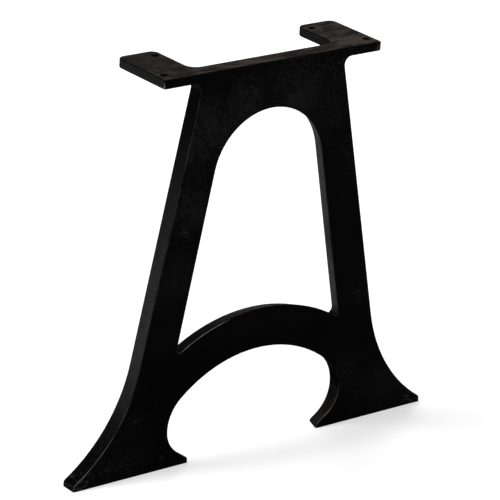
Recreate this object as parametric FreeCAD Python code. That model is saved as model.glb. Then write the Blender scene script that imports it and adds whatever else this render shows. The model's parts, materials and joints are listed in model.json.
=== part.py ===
"""Trestle table leg: one iron casting with splayed feet, an arched crossbar and two bolting ears."""

import FreeCAD, Part
import math
import os

from FreeCAD import Vector

# Whole casting, in millimetres. X runs from foot to foot, Y from front to back, Z up from the floor.
leg_height = 720.0
plate_depth = 33.0

# Posts: half width over both posts at the floor line and at the top, and each post's own width there
post_outer_floor = 296.5
post_outer_top = 147.3
post_width_floor = 76.5
post_width_top = 68.5

# Feet: the swept outer curve ends in a thin tip, and a short toe points inward
foot_reach = 384.5
foot_tip_height = 10.3
foot_curve_r = 304.0
foot_nose_r = 6.0
toe_reach = 142.0
toe_tip_height = 9.5
toe_slope_deg = 35.0
toe_nose_r = 5.0

# Ankle and arch: the opening between the feet, and the curved bar above it
ankle_cut = 46.8
ankle_z = 70.0
ankle_r = 75.0
arch_rise = 117.9
crossbar_width = 76.8

# Window between the posts, above the crossbar
top_bar_width = 86.8
window_corner_r = 4.0

# Draft: the openings are wider at the back than at the front, on every side, by this much
window_flare = 9.4
arch_flare = 4.5
toe_flare = 11.0

# Ears: flat flanges that run outward and back from the top of each post
ear_reach = 232.0
ear_width = 79.0
ear_depth = 141.3
ear_thickness = 17.5
ear_corner_r = 14.0
ear_root_r = 20.0
ear_web_r = 14.0

# Bolt holes: one at the outer front and one at the inner back of each ear
hole_d = 11.0
hole_side_inset = 15.5
hole_end_inset = 24.3
hole_bevel = 1.5

# Rounded casting edges, and the bevels around the back face and the ground top face
front_edge_r = 3.0
back_bevel = 2.0
ear_edge_r = 3.5
top_bevel = 1.2

# Stock left above the top and below the feet until both are ground flat
grinding_stock = 2 * max(front_edge_r, back_bevel)

front_y = -ear_depth / 2
back_y = front_y + plate_depth
ear_back_y = front_y + ear_depth
ear_under_z = leg_height - ear_thickness
ear_inner = ear_reach - ear_width
raw_top_z = leg_height + grinding_stock
raw_floor_z = -grinding_stock
depth_axis = Vector(0, plate_depth, 0)
tolerance = 1e-4


def on_front(x, z):
    return Vector(x, front_y, z)


def line(start, end):
    return Part.LineSegment(start, end).toShape()


def arc_about(centre, start, end):
    """The shorter arc from start to end around a centre."""
    radius = (start - centre).Length
    outward = (start - centre) + (end - centre)
    outward.normalize()
    return Part.Arc(start, centre + outward * radius, end).toShape()


def mirrored(shape):
    return shape.mirror(Vector(0, 0, 0), Vector(1, 0, 0))


def chain(points):
    return [line(start, end) for start, end in zip(points, points[1:])]


def sloped_side(half_floor, half_top):
    """A straight post side: its inward lean for each millimetre up and its outward unit normal."""
    lean = (half_floor - half_top) / leg_height
    normal = Vector(1, 0, lean)
    normal.normalize()
    return lean, normal


def web_arc(normal, offset):
    """The hollow curve that carries a post's outer side into the underside of its ear."""
    centre_z = ear_under_z - ear_web_r
    centre = on_front((offset + ear_web_r - normal.z * centre_z) / normal.x, centre_z)
    return arc_about(centre, on_front(centre.x, ear_under_z), centre - normal * ear_web_r)


def foot_arc(normal, offset):
    """The sweep that leaves a post's outer side tangent to it and ends at the tip of the foot."""
    tip = on_front(foot_reach, foot_tip_height)
    upward = Vector(-normal.z, 0, normal.x)
    gap = normal.dot(Vector(tip.x, 0, tip.z)) - offset
    along = math.sqrt(2 * foot_curve_r * gap - gap * gap)
    centre = tip + normal * (foot_curve_r - gap) + upward * along
    return arc_about(centre, centre - normal * foot_curve_r, tip)


def arch_circle():
    """Centre height and radius of the arch: it meets the ankle curve smoothly and tops out at its rise."""
    ankle_centre_x = toe_reach + ankle_cut - ankle_r
    squares = ankle_centre_x ** 2 + arch_rise ** 2 - ankle_r ** 2
    radius = squares / (2 * (arch_rise - ankle_r))
    return ankle_z + arch_rise - radius, radius


def toe_nose(flare):
    """The round end of a toe, from its upright tip to the start of its slope."""
    slope = math.radians(toe_slope_deg)
    inset = flare + toe_nose_r
    centre = on_front(toe_reach + inset, toe_tip_height + inset * (math.tan(slope) - 1 / math.cos(slope)))
    on_slope = centre + Vector(-math.sin(slope), 0, math.cos(slope)) * toe_nose_r
    return arc_about(centre, centre - Vector(toe_nose_r, 0, 0), on_slope)


def ankle_hollow(slope_start, waist):
    """The hollow above a toe: tangent to the toe's slope, and upright at the waist of the ankle."""
    slope = math.radians(toe_slope_deg)
    foot_of_slope = slope_start.z + (waist.x - slope_start.x) * math.tan(slope)
    radius = (waist.z - foot_of_slope) * math.tan((math.pi / 2 + slope) / 2)
    centre = waist - Vector(radius, 0, 0)
    return arc_about(centre, centre + Vector(math.sin(slope), 0, -math.cos(slope)) * radius, waist)


def foot_gap_wire(arch_offset, toe_offset):
    """Front view of the opening between the feet, widened at arch and toes, and run on below the floor."""
    below_z = 2 * raw_floor_z
    arch_centre = on_front(0, arch_circle()[0])
    ankle_centre = on_front(toe_reach + ankle_cut - ankle_r, ankle_z)
    shoulder_r = ankle_r + arch_offset
    toward = (ankle_centre - arch_centre).normalize()
    arch_end = ankle_centre + toward * shoulder_r
    waist = ankle_centre + Vector(shoulder_r, 0, 0)
    nose = toe_nose(toe_offset)
    tip, slope_start = nose.Vertexes[0].Point, nose.Vertexes[1].Point
    hollow = ankle_hollow(slope_start, waist)
    upright = line(on_front(tip.x, below_z), tip)
    slope = line(slope_start, hollow.Vertexes[0].Point)
    half = [upright, nose, slope, hollow, arc_about(ankle_centre, waist, arch_end)]
    arch = arc_about(arch_centre, arch_end, on_front(-arch_end.x, arch_end.z))
    bottom = line(on_front(-tip.x, below_z), on_front(tip.x, below_z))
    edges = half + [mirrored(edge) for edge in half] + [arch, bottom]
    return Part.Wire(Part.__sortEdges__(edges))


def outline_face():
    """Front view of the whole casting before its openings are cut, with the ends of the ears."""
    normal = sloped_side(post_outer_floor, post_outer_top)[1]
    offset = post_outer_floor * normal.x
    web = web_arc(normal, offset)
    foot = foot_arc(normal, offset)
    web_on_ear, web_on_post = web.Vertexes[0].Point, web.Vertexes[1].Point
    foot_start, foot_tip = foot.Vertexes[0].Point, foot.Vertexes[1].Point
    sole_end = on_front(foot_reach, raw_floor_z)
    ear_end = chain([on_front(ear_reach, raw_top_z), on_front(ear_reach, ear_under_z), web_on_ear])
    half = ear_end + [web, line(web_on_post, foot_start), foot, line(foot_tip, sole_end)]
    top = line(on_front(-ear_reach, raw_top_z), on_front(ear_reach, raw_top_z))
    sole = line(on_front(-foot_reach, raw_floor_z), sole_end)
    edges = half + [mirrored(edge) for edge in half] + [top, sole]
    return Part.Face(Part.Wire(Part.__sortEdges__(edges)))


def window_corner(half_floor, lean, normal, sill_r, corner_r):
    """The round corner where a leaning window side meets the sill."""
    arch_centre = on_front(0, arch_circle()[0])
    shifted_floor = half_floor - corner_r / normal.x
    reach = sill_r + corner_r
    square = 1 + lean ** 2
    middle = (shifted_floor * lean + arch_centre.z) / square
    rest = (shifted_floor ** 2 + arch_centre.z ** 2 - reach ** 2) / square
    centre_z = middle + math.sqrt(middle ** 2 - rest)
    centre = on_front(shifted_floor - lean * centre_z, centre_z)
    on_sill = arch_centre + (centre - arch_centre) * (sill_r / reach)
    return arc_about(centre, on_sill, centre + normal * corner_r)


def window_wire(flare):
    """Front view of the window, widened all round: leaning sides, a round head and a curved sill."""
    half_floor = post_outer_floor - post_width_floor
    lean, normal = sloped_side(half_floor, post_outer_top - post_width_top)
    apex_z = leg_height - top_bar_width
    head_z = (apex_z - half_floor * normal.x) / (1 - normal.z)
    head_centre = on_front(0, head_z)
    head_end = head_centre + normal * (apex_z - head_z + flare)
    head = arc_about(head_centre, head_end, on_front(-head_end.x, head_end.z))
    arch_z, arch_r = arch_circle()
    sill_r = arch_r + crossbar_width - flare
    side_floor = half_floor + flare / normal.x
    corner = window_corner(side_floor, lean, normal, sill_r, window_corner_r + flare)
    sill_end, side_end = corner.Vertexes[0].Point, corner.Vertexes[1].Point
    sill = arc_about(on_front(0, arch_z), sill_end, on_front(-sill_end.x, sill_end.z))
    half = [corner, line(side_end, head_end)]
    edges = half + [mirrored(edge) for edge in half] + [head, sill]
    return Part.Wire(Part.__sortEdges__(edges))


def drafted(front, back):
    """The volume of an opening, from its outline on the front face to its outline on the back face."""
    back.translate(depth_axis)
    return Part.makeLoft([front, back], True, True)


def depth_edges(solid, x, z):
    """The edges that run from front to back at a place in the front view, on both halves."""
    def there(vertex):
        return abs(abs(vertex.X) - x) < tolerance and abs(vertex.Z - z) < tolerance
    return [edge for edge in solid.Edges if all(there(vertex) for vertex in edge.Vertexes)]


def face_rim(solid, y):
    """The rim of the front or back face, apart from the stock that is ground off."""
    rim = []
    for edge in solid.Edges:
        box = edge.BoundBox
        flat = abs(box.YMin - y) < tolerance and abs(box.YMax - y) < tolerance
        stock = box.ZMax < raw_floor_z + tolerance or box.ZMin > raw_top_z - tolerance
        if flat and not stock:
            rim.append(edge)
    return rim


def plate():
    """The upright plate with its two openings, rounded tips and front rim, and bevelled back rim."""
    window = drafted(window_wire(0), window_wire(window_flare))
    foot_gap = drafted(foot_gap_wire(0, 0), foot_gap_wire(arch_flare, toe_flare))
    solid = outline_face().extrude(depth_axis).cut([window, foot_gap])
    solid = solid.makeFillet(foot_nose_r, depth_edges(solid, foot_reach, foot_tip_height))
    solid = solid.makeFillet(ear_edge_r, depth_edges(solid, ear_reach, ear_under_z))
    solid = solid.makeFillet(front_edge_r, face_rim(solid, front_y))
    return solid.makeChamfer(back_bevel, face_rim(solid, back_y))


def ear():
    """The right ear behind the plate, rooted inside the plate and rounded in plan and along its underside."""
    def in_plan(x, y):
        return Vector(x, y, ear_under_z)

    root_y = front_y + plate_depth / 2
    root_start = in_plan(ear_inner, back_y + ear_root_r)
    root_end = in_plan(ear_inner - ear_root_r, back_y)
    root = arc_about(in_plan(root_end.x, root_start.y), root_start, root_end)
    outside = chain([
        root_end,
        in_plan(root_end.x, root_y),
        in_plan(ear_reach, root_y),
        in_plan(ear_reach, ear_back_y),
        in_plan(ear_inner, ear_back_y),
        root_start,
    ])
    block = Part.Face(Part.Wire(Part.__sortEdges__(outside + [root])))
    block = block.extrude(Vector(0, 0, raw_top_z - ear_under_z))
    corners = [edge for edge in block.Edges
               if edge.BoundBox.YMin > ear_back_y - tolerance and edge.BoundBox.XLength < tolerance]
    block = block.makeFillet(ear_corner_r, corners)
    under = [edge for edge in block.Edges
             if edge.BoundBox.ZMax < ear_under_z + tolerance and edge.BoundBox.XMin > ear_inner - tolerance
             and edge.BoundBox.YMax > back_y]
    return block.makeFillet(ear_edge_r, under)


def drill():
    """A through hole's own volume, standing on the underside, with a bevelled mouth at each end."""
    bore_r = hole_d / 2
    mouth_r = bore_r + hole_bevel
    top = Vector(0, 0, ear_thickness)
    bore = Part.makeCylinder(bore_r, ear_thickness)
    low_mouth = Part.makeCone(mouth_r, bore_r, hole_bevel)
    high_mouth = Part.makeCone(mouth_r, bore_r, hole_bevel, top, Vector(0, 0, -1))
    return bore.fuse([low_mouth, high_mouth])


def bolt_holes():
    """The four through holes, two in each ear."""
    places = [
        (ear_reach - hole_side_inset, front_y + hole_end_inset),
        (ear_inner + hole_side_inset, ear_back_y - hole_end_inset),
    ]
    drills = []
    for x, y in places:
        for side in (1, -1):
            drills.append(drill().translated(Vector(side * x, y, ear_under_z)))
    return drills


def ground(solid):
    """Grind the top and the feet flat."""
    width = 2 * (foot_reach + ear_reach)
    kept = Part.makeBox(width, 2 * ear_depth, leg_height, Vector(-width / 2, -ear_depth, 0))
    return solid.common(kept)


def top_rim(solid):
    """The outer rim of the ground top face."""
    top = [face for face in solid.Faces if face.BoundBox.ZMin > leg_height - tolerance]
    return [edge for face in top for edge in face.OuterWire.Edges]


def leg():
    """The whole casting."""
    right_ear = ear()
    solid = plate().fuse([right_ear, mirrored(right_ear)]).removeSplitter()
    solid = ground(solid)
    solid = solid.makeChamfer(top_bevel, top_rim(solid))
    return solid.cut(bolt_holes()).Solids[0]


os.makedirs("parts", exist_ok=True)
leg().exportStep("parts/leg_casting.step")
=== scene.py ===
"""Looks of the trestle table leg: satin black cast iron on a white studio floor."""

import json
import math

import bpy
from mathutils import Matrix, Vector

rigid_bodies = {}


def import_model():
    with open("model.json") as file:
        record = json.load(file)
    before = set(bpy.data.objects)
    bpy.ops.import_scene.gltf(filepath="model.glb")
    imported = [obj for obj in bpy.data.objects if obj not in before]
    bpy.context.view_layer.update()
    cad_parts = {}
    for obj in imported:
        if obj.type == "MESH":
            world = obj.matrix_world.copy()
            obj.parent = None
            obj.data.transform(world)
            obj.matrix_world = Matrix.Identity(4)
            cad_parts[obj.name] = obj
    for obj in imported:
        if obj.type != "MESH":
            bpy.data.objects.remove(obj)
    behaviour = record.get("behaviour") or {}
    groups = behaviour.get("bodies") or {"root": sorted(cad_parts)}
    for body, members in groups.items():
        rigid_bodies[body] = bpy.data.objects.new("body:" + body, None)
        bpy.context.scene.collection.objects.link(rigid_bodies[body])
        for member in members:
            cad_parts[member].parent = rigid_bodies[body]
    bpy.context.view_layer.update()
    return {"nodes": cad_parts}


WHITE = (1, 1, 1, 1)

# Camera of the photograph: where it looks, from what angles and how far, in metres and degrees
TARGET = Vector((-0.031875, -0.07065, 0.379682))
AZIMUTH = 38.042
ELEVATION = 21.287
ROLL = 3.339
DISTANCE = 5.57558
LENS = 231.75
SENSOR = 36.0

# Studio: a white floor, a white sweep round the horizon under a dim ceiling, and lamps
FLOOR_HALF = 12.0
FLOOR_COLOUR = (0.5, 0.5, 0.5, 1)
FLOOR_LIFT = 0.55
SWEEP_TOP = 0.12
CEILING_START = 0.36
CEILING = 0.2
AIM = Vector((0, 0, 0.36))
# The key is a wide sun, so that the floor is as light far off as it is near
KEY_PLACE = Vector((-1.6, 0.7, 3.2))
KEY_SPREAD = 0.45
KEY_STRENGTH = 2.7
# Each small lamp's name, place, size and power
LAMPS = [
    ("back_right", (1.8, 2.8, 2.2), 1.6, 45),
    ("spark", (-0.2, -1.1, 3.2), 0.5, 12),
]

# Finish, as linear colours
BLACK = (0.0003, 0.0003, 0.0004, 1)
WORN_BLACK = (0.0105, 0.0102, 0.0107, 1)
# Painted light: the sides' grey stands in for the key lamp's light falling on them
LIT_SIDE_GREY = (0.0275, 0.0261, 0.0258, 1)
# Dust on the tops; the same colour is painted light on the toes' inner slopes
DUST_AND_TOE_LIGHT = (0.0313, 0.0242, 0.0214, 1)
SPECK = (0.052, 0.050, 0.048, 1)
# Bare metal on the rims, placed where highlights fall: partly worn paint, partly painted highlight
BARE_AND_HIGHLIGHT = (0.30, 0.29, 0.28, 1)
SPECULAR = 0.012

# Marks in the front view: place and reach in metres, and strength
WORN_PATCHES = [
    ((-0.140, 0.590), 0.120, 1.35),
    ((-0.060, 0.640), 0.090, 0.90),
    ((0.040, 0.650), 0.105, 0.90),
    ((0.120, 0.600), 0.110, 0.45),
    ((-0.165, 0.500), 0.100, 0.95),
    ((0.170, 0.500), 0.100, 0.45),
    ((-0.200, 0.360), 0.100, 0.45),
    ((0.290, 0.055), 0.130, 0.55),
    ((-0.300, 0.050), 0.120, 0.40),
    ((0.200, 0.095), 0.080, 0.40),
]
SCUFFS = [
    ((0.220, 0.248), 0.032, 0.45),
    ((-0.260, 0.114), 0.026, 0.48),
    ((-0.319, 0.028), 0.030, 0.42),
    ((-0.280, 0.022), 0.034, 0.55),
    ((-0.200, 0.019), 0.014, 0.60),
    ((0.364, 0.013), 0.034, 1.40),
    ((-0.368, 0.012), 0.034, 1.40),
    ((-0.050, 0.675), 0.050, 0.35),
    ((0.080, 0.690), 0.070, 0.20),
    ((0.130, 0.680), 0.050, 0.25),
    ((0.177, 0.546), 0.040, 0.35),
    ((-0.173, 0.437), 0.020, 0.85),
    ((-0.053, 0.674), 0.020, 0.95),
]
# Rims worn to bare metal where highlights fall: partly worn paint, partly painted highlight
WORN_AND_HIGHLIT_RIMS = [
    ((-0.152, 0.224), 0.032, 0.80),
    ((-0.125, 0.238), 0.034, 0.80),
    ((-0.095, 0.249), 0.036, 0.80),
    ((-0.170, 0.655), 0.070, 0.09),
    ((-0.185, 0.580), 0.070, 0.10),
    ((-0.200, 0.510), 0.070, 0.09),
    ((-0.215, 0.440), 0.070, 0.07),
    ((-0.285, 0.118), 0.050, 0.15),
    ((-0.325, 0.062), 0.060, 0.25),
    ((-0.365, 0.020), 0.050, 0.35),
    ((0.190, 0.050), 0.030, 0.25),
    ((0.172, 0.020), 0.030, 0.50),
    ((0.155, 0.006), 0.020, 0.50),
    ((0.370, 0.018), 0.035, 0.12),
    ((-0.2325, 0.7060), 0.0115, 0.75),
    ((0.231, 0.710), 0.014, 0.40),
]
# A stain on the window's right wall
STAINS = [((0.138, 0.362), 0.090, 0.75)]
# The front of the right ear's corner, where the paint is chipped off
CHIPS = [((0.2290, 0.7080), 0.0120, 0.14)]

# Noise: scale per metre, detail and roughness
CLOUDS = (9.0, 3.0, 0.5)
SIDE_LIGHT_NOISE = (26.0, 4.0, 0.7)
LUMPS = (30.0, 2.0, 0.5)
MOTTLE = (60.0, 5.0, 0.65)
GRIT = (240.0, 3.0, 0.6)
DOTS = (400.0, 1.0, 0.5)
GRAIN = (620.0, 3.0, 0.6)
# Noise that is drawn out: its turn in radians and its scale per metre each way come first
SMEAR_TURN = (0.0, 0.0, 0.5)
SMEAR_SCALE = (24.0, 58.0, 24.0)
SMEARS = (1.0, 6.0, 0.7)
SCRATCH_TURN = (0.0, 0.7, 0.0)
SCRATCH_SCALE = (130.0, 60.0, 230.0)
SCRATCHES = (1.0, 4.0, 0.7)

# Masks: a pair gives the values at which a mask starts and is full, in metres for x, y and z.
# A range gives what a mask of 0 and a mask of 1 stand for.

# Faces, by how far they point up, and to the front or back
LEVEL_UP = (0.90, 0.99)
NOT_STEEP = (0.30, 0.72)
NOT_SIDE = (0.30, 0.50)
RIM_START = (0.38, 0.62)
RIM_END = (0.74, 0.94)
# Faces that point away from the leg's middle, by x times the way that they point along x
OUTWARD = (-0.01, 0.01)
# The height at which the crossbar gives way to the window
SILL_Z = (0.205, 0.235)
# Mottling at which a worn place breaks up
BROKEN = (0.30, 0.50)

# Worn paint: the shares of its three noises, and the least that any paint has aged
CLOUDS_SHARE = 0.28
MOTTLE_SHARE = 0.30
GRIT_SHARE = 0.42
PATCH_EDGE = (0.44, 0.60)
PATCH_RANGE = (0.10, 1.2)
LEAST_AGED = 0.06

# Dust: thicker to the right and the front of the tops; on the toes' inner slopes, where they face up, the
# same colour is painted light
SMEAR_EDGE = (0.38, 0.64)
SMEAR_RANGE = (0.12, 1.1)
DUST_X = (-0.22, 0.22)
DUST_X_RANGE = (0.39, 0.83)
DUST_Y = (-0.06, 0.03)
DUST_Y_RANGE = (0.42, 0.0)
TOE_UP = (0.20, 0.50)
TOE_END_Z = (0.08, 0.13)
TOE_LIGHT = 0.4

# Painted light on the sides: lighter up from the foot and fading to painted shade under the ear, within
# the window, and on the ears
FOOT_Z = (0.02, 0.26)
FOOT_RANGE = (0.05, 0.87)
POST_END_Z = (0.24, 0.68)
WINDOW_END_Z = (0.66, 0.70)
EAR_Z = (0.700, 0.705)
EAR_INNER_LIGHT = 0.36
EAR_OUTER_LIGHT = 0.46
SIDE_LIGHT_RANGE = (0.25, 1.55)
GRIT_RANGE = (0.3, 1.7)

# Bare metal with painted highlights: the glint on rims beside worn paint, and how deep the chips go
GLINT_RANGE = (0.012, 0.045)
CHIP_END_Y = (-0.066, -0.060)

# Specks: the noise that makes one, and the crowd of them at the top right
SPECK_LIMIT = 0.742
SPECK_EDGE = 0.06
SPECK_FACE = (0.80, 0.95)
SPECK_RANGE = (0.0, 0.65)
CROWD_X = (-0.10, 0.14)
CROWD_Z = (0.58, 0.70)
CROWD_EASE = 0.09

# Scuffs
SCRATCH_EDGE = (0.50, 0.72)
SCUFF_FACE = (0.50, 0.80)
SCUFF_RANGE = (0.35, 1.0)

# Roughness: satin, smoother on the rims, duller on faces that look up and under the crossbar
SATIN_RANGE = (0.42, 0.64)
RIM_POLISH = 0.12
DULL_UP = (0.50, 0.90)
TOP_DULLING = 0.25
DULL_DOWN = (-0.10, 0.25)
GAP_DULLING = 0.55

# Relief of the casting: strength, and height in metres
LUMP_BUMP = (0.25, 0.002)
MOTTLE_BUMP = (0.30, 0.0008)
GRAIN_BUMP = (0.35, 0.0003)


class Nodes:
    """Adds nodes to a material's or world's tree. An input is a value or another node's output."""

    def __init__(self, owner):
        owner.use_nodes = True
        self.tree = owner.node_tree
        self.tree.nodes.clear()

    def add(self, kind, inputs=None, **settings):
        made = self.tree.nodes.new(kind)
        for name, value in settings.items():
            setattr(made, name, value)
        for name, value in (inputs or {}).items():
            if isinstance(value, bpy.types.NodeSocket):
                self.tree.links.new(value, made.inputs[name])
            else:
                made.inputs[name].default_value = value
        return made

    def math(self, operation, first, second=0.0):
        return self.add("ShaderNodeMath", {0: first, 1: second}, operation=operation).outputs[0]

    def product(self, first, *others):
        for factor in others:
            first = self.math("MULTIPLY", first, factor)
        return first

    def total(self, first, *others):
        for term in others:
            first = self.math("ADD", first, term)
        return first

    def less(self, first, second):
        return self.math("SUBTRACT", first, second)

    def without(self, share):
        """What a share leaves of 1."""
        return self.less(1.0, share)

    def larger(self, first, second):
        return self.math("MAXIMUM", first, second)

    def split(self, vector):
        parts = self.add("ShaderNodeSeparateXYZ", {"Vector": vector}).outputs
        return parts["X"], parts["Y"], parts["Z"]

    def rise(self, value, pair):
        """0 up to the pair's first value, 1 from its second, and smooth between them."""
        inputs = {"Value": value, "From Min": pair[0], "From Max": pair[1]}
        return self.add("ShaderNodeMapRange", inputs, interpolation_type="SMOOTHSTEP").outputs["Result"]

    def spread(self, mask, ends):
        """A mask of 0 to 1, spread from one end of a range to the other."""
        inputs = {"Value": mask, "To Min": ends[0], "To Max": ends[1]}
        return self.add("ShaderNodeMapRange", inputs).outputs["Result"]

    def noise(self, coords, kind):
        scale, detail, roughness = kind
        inputs = {"Vector": coords, "Scale": scale, "Detail": detail, "Roughness": roughness}
        return self.add("ShaderNodeTexNoise", inputs).outputs["Fac"]

    def blend(self, share, first, second):
        inputs = {0: share, 6: first, 7: second}
        return self.add("ShaderNodeMix", inputs, data_type="RGBA").outputs[2]

    def bump(self, height, size, under=None):
        inputs = {"Height": height, "Strength": size[0], "Distance": size[1]}
        if under is not None:
            inputs["Normal"] = under
        return self.add("ShaderNodeBump", inputs).outputs["Normal"]

    def seen(self):
        """1 for what the camera sees, straight or in gloss or glass."""
        path = self.add("ShaderNodeLightPath").outputs
        straight = self.larger(path["Is Camera Ray"], path["Is Glossy Ray"])
        return self.larger(straight, path["Is Transmission Ray"])

    def surface(self, inputs):
        shader = self.add("ShaderNodeBsdfPrincipled", inputs).outputs[0]
        self.add("ShaderNodeOutputMaterial", {"Surface": shader})


class Finish(Nodes):
    """The casting's nodes: where each point lies, how it faces, and the marks and painted light that
    follow from both.
    """

    def __init__(self, material):
        super().__init__(material)
        self.coords = self.add("ShaderNodeTexCoord").outputs["Object"]
        self.x, self.y, self.z = self.split(self.coords)
        across, along, self.up = self.split(self.add("ShaderNodeNewGeometry").outputs["Normal"])
        # How far a face points to the front or back: 1 on the plate, 0 on its sides and on the tops
        self.plate = self.math("ABSOLUTE", along)
        self.level = self.rise(self.up, LEVEL_UP)
        self.outward = self.rise(self.product(across, self.x), OUTWARD)
        self.over_sill = self.rise(self.z, SILL_Z)
        self.rim = self.less(self.rise(self.plate, RIM_START), self.rise(self.plate, RIM_END))
        steep = self.without(self.rise(self.math("ABSOLUTE", self.up), NOT_STEEP))
        self.sides = self.product(steep, self.without(self.rise(self.plate, NOT_SIDE)))
        self.mottle = self.noise(self.coords, MOTTLE)
        self.broken = self.rise(self.mottle, BROKEN)
        self.grit = self.noise(self.coords, GRIT)

    def near(self, spots):
        """A spot's strength at its middle in the front view, falling to 0 at its reach."""
        here = self.add("ShaderNodeCombineXYZ", {"X": self.x, "Y": 0.0, "Z": self.z}).outputs[0]
        closest = 0.0
        for (x, z), reach, strength in spots:
            inputs = {0: here, 1: (x, 0.0, z)}
            away = self.add("ShaderNodeVectorMath", inputs, operation="DISTANCE").outputs["Value"]
            inside = self.without(self.rise(away, (0.0, reach)))
            closest = self.larger(closest, self.product(inside, strength))
        return closest

    def drawn_out(self, turn, scale, kind):
        inputs = {"Vector": self.coords, "Rotation": turn, "Scale": scale}
        return self.noise(self.add("ShaderNodeMapping", inputs).outputs[0], kind)

    def patches(self):
        """Cloudy worn places in the paint on the front and back."""
        clouds = self.product(self.noise(self.coords, CLOUDS), CLOUDS_SHARE)
        mottle = self.product(self.mottle, MOTTLE_SHARE)
        grit = self.product(self.grit, GRIT_SHARE)
        cloudy = self.rise(self.total(clouds, mottle, grit), PATCH_EDGE)
        aged = self.larger(self.near(WORN_PATCHES), LEAST_AGED)
        elsewhere = self.without(self.larger(self.sides, self.level))
        return self.product(self.spread(cloudy, PATCH_RANGE), aged, elsewhere)

    def painted_side_light(self):
        """Painted light on the sides: a lighter grey where the key lamp falls, fading to painted shade
        under the ears, near the floor and in the gap under the crossbar; uneven and gritty, with a stain.
        """
        on_ear = self.rise(self.z, EAR_Z)
        in_window = self.less(self.over_sill, self.rise(self.z, WINDOW_END_Z))
        inner = self.total(in_window, self.product(on_ear, EAR_INNER_LIGHT))
        from_foot = self.spread(self.rise(self.z, FOOT_Z), FOOT_RANGE)
        on_post = self.product(from_foot, self.without(self.rise(self.z, POST_END_Z)))
        outer = self.total(on_post, self.product(on_ear, EAR_OUTER_LIGHT))
        uneven = self.spread(self.noise(self.coords, SIDE_LIGHT_NOISE), SIDE_LIGHT_RANGE)
        gritty = self.spread(self.grit, GRIT_RANGE)
        clean = self.without(self.near(STAINS))
        # Painted light: outer and inner faces are lightened to different levels, as the key lamp falls on
        # them
        side_light = self.spread(self.outward, (inner, outer))
        return self.product(self.sides, side_light, uneven, gritty, clean)

    def dust_and_toe_light(self):
        """Dust smeared brown over the level tops, and painted light on the toes' inner slopes that face
        up.
        """
        smears = self.rise(self.drawn_out(SMEAR_TURN, SMEAR_SCALE, SMEARS), SMEAR_EDGE)
        to_right = self.spread(self.rise(self.x, DUST_X), DUST_X_RANGE)
        to_front = self.spread(self.rise(self.y, DUST_Y), DUST_Y_RANGE)
        on_tops = self.product(self.level, self.total(to_right, to_front))
        sloping_in = self.product(self.rise(self.up, TOE_UP), self.without(self.outward))
        # Painted light: the toes' inner slopes that face up are lightened
        lit_toes = self.product(sloping_in, self.without(self.rise(self.z, TOE_END_Z)), TOE_LIGHT)
        return self.product(self.larger(on_tops, lit_toes), self.spread(smears, SMEAR_RANGE))

    def specks(self):
        """Pale specks on the front and back."""
        crowd = self.product(self.rise(self.x, CROWD_X), self.rise(self.z, CROWD_Z))
        limit = self.less(SPECK_LIMIT, self.product(crowd, CROWD_EASE))
        dots = self.rise(self.less(self.noise(self.coords, DOTS), limit), (0.0, SPECK_EDGE))
        return self.product(dots, self.spread(self.rise(self.plate, SPECK_FACE), SPECK_RANGE))

    def scuffs(self):
        """Short slanting scratches, fainter on the sides."""
        scratches = self.rise(self.drawn_out(SCRATCH_TURN, SCRATCH_SCALE, SCRATCHES), SCRATCH_EDGE)
        fainter = self.spread(self.rise(self.plate, SCUFF_FACE), SCUFF_RANGE)
        return self.product(self.near(SCUFFS), scratches, fainter)

    def wear_and_highlights(self, patches):
        """Bare metal along the rims and at the chipped corner; the rims' bare metal is placed where
        highlights fall, so it is partly worn paint and partly painted highlight.
        """
        worn_and_highlit = self.product(self.near(WORN_AND_HIGHLIT_RIMS), self.broken)
        rims = self.product(self.rim, self.larger(worn_and_highlit, self.spread(patches, GLINT_RANGE)))
        in_front = self.without(self.rise(self.y, CHIP_END_Y))
        return self.larger(rims, self.product(self.near(CHIPS), self.broken, in_front))

    def roughness(self):
        satin = self.less(self.spread(self.mottle, SATIN_RANGE), self.product(self.rim, RIM_POLISH))
        on_top = self.product(self.rise(self.up, DULL_UP), TOP_DULLING)
        underside = self.rise(self.less(0.0, self.up), DULL_DOWN)
        in_gap = self.product(underside, self.without(self.over_sill), GAP_DULLING)
        return self.total(satin, on_top, in_gap)

    def relief(self):
        """The casting's lumps, mottling and sand grain."""
        lumps = self.bump(self.noise(self.coords, LUMPS), LUMP_BUMP)
        mottled = self.bump(self.mottle, MOTTLE_BUMP, lumps)
        return self.bump(self.noise(self.coords, GRAIN), GRAIN_BUMP, mottled)


def iron():
    """Satin black paint on cast iron: mottled, dusty on top, worn at the rims, with specks and scuffs;
    painted light on the sides and on the toes' inner slopes, and painted highlights on the rims.
    """
    material = bpy.data.materials.new("black_iron")
    finish = Finish(material)
    patches = finish.patches()
    # Bare metal on the rims, placed where highlights fall: partly worn paint, partly painted highlight
    wear_and_highlights = finish.wear_and_highlights(patches)
    colour = finish.blend(patches, BLACK, WORN_BLACK)
    # Painted light on the sides
    colour = finish.blend(finish.painted_side_light(), colour, LIT_SIDE_GREY)
    # Dust on the tops, and painted light on the toes' inner slopes
    colour = finish.blend(finish.dust_and_toe_light(), colour, DUST_AND_TOE_LIGHT)
    colour = finish.blend(finish.specks(), colour, SPECK)
    colour = finish.blend(finish.scuffs(), colour, SPECK)
    colour = finish.blend(wear_and_highlights, colour, BARE_AND_HIGHLIGHT)
    finish.surface({
        "Base Color": colour, "Metallic": wear_and_highlights, "Roughness": finish.roughness(),
        "Specular IOR Level": SPECULAR, "Normal": finish.relief()})
    return material


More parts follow.
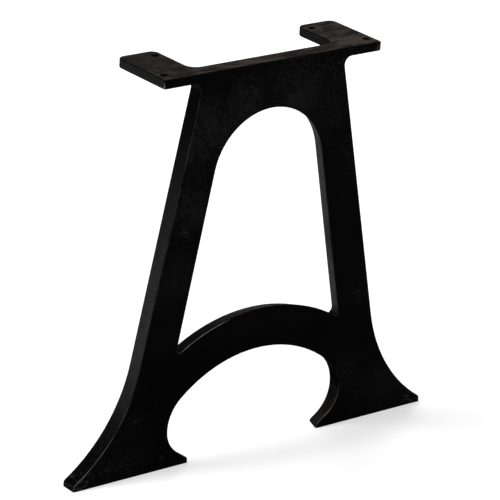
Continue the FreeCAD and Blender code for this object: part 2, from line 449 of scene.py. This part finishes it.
def floor():
    """A plain white floor that keeps the leg's soft shadow."""
    material = bpy.data.materials.new("floor_white")
    nodes = Nodes(material)
    nodes.surface({
        "Base Color": FLOOR_COLOUR, "Roughness": 1.0, "Specular IOR Level": 0.0,
        "Emission Color": WHITE, "Emission Strength": nodes.product(nodes.seen(), FLOOR_LIFT)})
    half = FLOOR_HALF
    corners = [(-half, -half, 0), (half, -half, 0), (half, half, 0), (-half, half, 0)]
    mesh = bpy.data.meshes.new("floor")
    mesh.from_pydata(corners, [], [(0, 1, 2, 3)])
    mesh.materials.append(material)
    sheet = bpy.data.objects.new("floor", mesh)
    bpy.context.scene.collection.objects.link(sheet)


def room():
    """A white sweep that stands a little above the horizon, and a dim ceiling over it."""
    world = bpy.data.worlds.new("studio")
    bpy.context.scene.world = world
    nodes = Nodes(world)
    toward = nodes.add("ShaderNodeTexCoord").outputs["Generated"]
    height = nodes.split(toward)[2]
    strength = nodes.spread(nodes.rise(height, (SWEEP_TOP, CEILING_START)), (1.0, CEILING))
    sky = nodes.add("ShaderNodeBackground", {"Color": WHITE, "Strength": strength})
    nodes.add("ShaderNodeOutputWorld", {"Surface": sky.outputs[0]})


def aim_lamp(data, place):
    lamp = bpy.data.objects.new(data.name, data)
    lamp.location = place
    lamp.rotation_euler = (AIM - lamp.location).to_track_quat("-Z", "Y").to_euler()
    lamp.visible_camera = False
    bpy.context.scene.collection.objects.link(lamp)


def lamps():
    key = bpy.data.lights.new("key_left", "SUN")
    key.angle = KEY_SPREAD
    key.energy = KEY_STRENGTH
    aim_lamp(key, KEY_PLACE)
    for name, place, size, power in LAMPS:
        small = bpy.data.lights.new(name, "AREA")
        small.size = size
        small.energy = power
        aim_lamp(small, place)


def camera():
    """The photograph's camera, set from its fitted angles."""
    azimuth, elevation, roll = (math.radians(angle) for angle in (AZIMUTH, ELEVATION, ROLL))
    level = math.cos(elevation)
    back = Vector((-math.sin(azimuth) * level, -math.cos(azimuth) * level, math.sin(elevation)))
    right = (-back).cross(Vector((0, 0, 1))).normalized()
    up = back.cross(right)
    turned = Matrix.Rotation(roll, 3, back) @ Matrix((right, up, back)).transposed()
    data = bpy.data.cameras.new("photo_camera")
    data.sensor_width = SENSOR
    data.lens = LENS
    eye = bpy.data.objects.new("photo_camera", data)
    eye.matrix_world = Matrix.Translation(TARGET + back * DISTANCE) @ turned.to_4x4()
    bpy.context.scene.collection.objects.link(eye)
    bpy.context.scene.camera = eye


for thing in list(bpy.data.objects):
    bpy.data.objects.remove(thing)
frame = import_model()
casting = frame["nodes"]["leg_casting"]
casting.data.materials.clear()
casting.data.materials.append(iron())
floor()
room()
lamps()
camera()
bpy.context.scene.view_settings.view_transform = "Standard"
